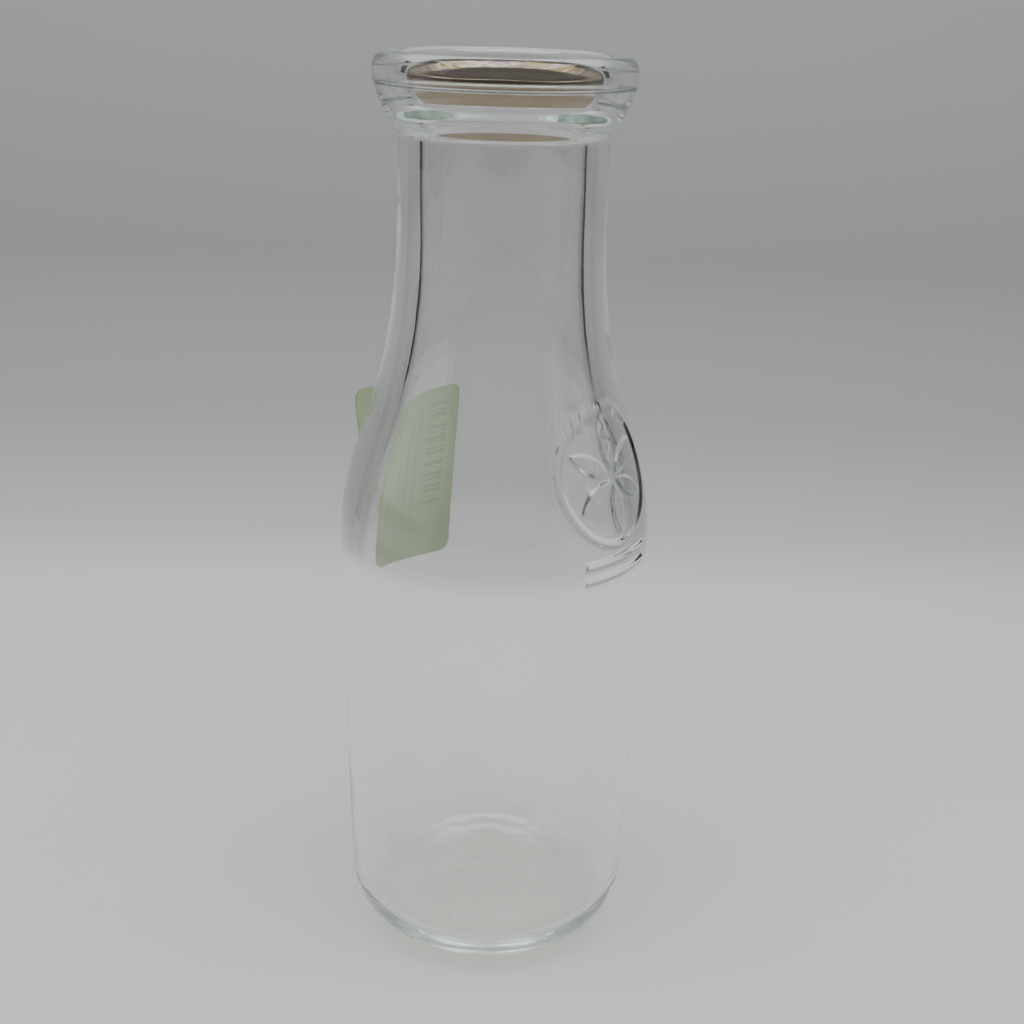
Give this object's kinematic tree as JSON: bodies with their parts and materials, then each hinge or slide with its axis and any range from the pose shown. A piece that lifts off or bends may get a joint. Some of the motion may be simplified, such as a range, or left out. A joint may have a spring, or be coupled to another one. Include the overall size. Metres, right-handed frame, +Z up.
{
  "type": "glass milk bottle with paper cap",
  "caption": "Tall clear glass milk bottle with a stepped shoulder, a thick rounded lip and a paper disc cap seated in its mouth.",
  "frame": {"origin": "centre of the base, on the surface the bottle stands on", "axes": "+Z up along the bottle's axis; -Y is the front; the label is behind the shoulder at the left"},
  "size_m": [0.0712, 0.0712, 0.207],
  "materials": {
    "clear_glass": "clear, polished, faint green tint",
    "printed_board": "varnished print on waxed board",
    "green_paper": "matte"
  },
  "bodies": {
    "bottle": {"glass_bottle": "clear_glass", "paper_label": "green_paper"},
    "cap": {"paper_cap": "printed_board"}
  },
  "joints": [
    {"name": "cap_lift", "type": "slide", "parent": "bottle", "child": "cap", "axis": [0, 0, 1], "range_m": [0, 0.06]}
  ]
}
